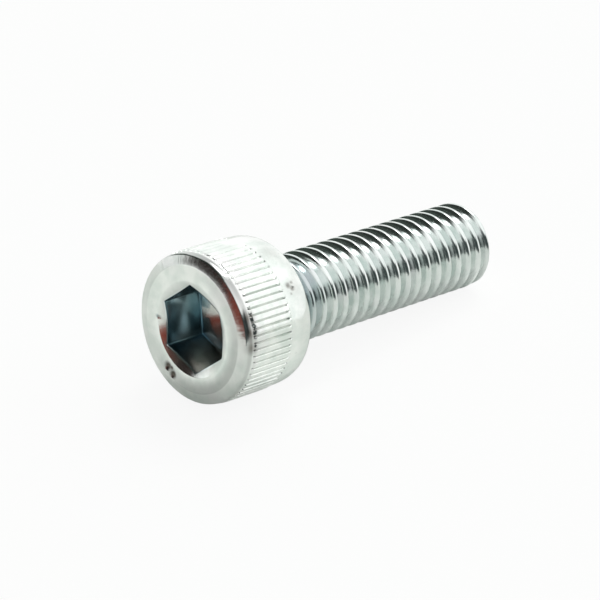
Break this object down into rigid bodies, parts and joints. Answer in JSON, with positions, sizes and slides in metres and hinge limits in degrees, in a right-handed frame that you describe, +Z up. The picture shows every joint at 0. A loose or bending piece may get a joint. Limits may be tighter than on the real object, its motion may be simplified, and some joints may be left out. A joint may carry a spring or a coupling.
{
  "type": "hex socket cap screw",
  "caption": "Fully threaded cap screw with a knurled cylindrical head and a hexagonal socket, zinc plated, lying on its side.",
  "frame": {"origin": "centre of the bounding box's bottom face, on the surface that the screw lies on", "axes": "+Z up; +X along the screw as seen from above, from the head to the tip; the screw's own axis dips 5.99 degrees below +X towards the tip, because it lies on the back of its head and on the thread"},
  "size_m": [0.0264, 0.0102, 0.0105],
  "materials": {
    "zinc_plate": "bright zinc plate, faintly green"
  },
  "bodies": {
    "root": {"cap_screw": "zinc_plate"}
  },
  "joints": []
}
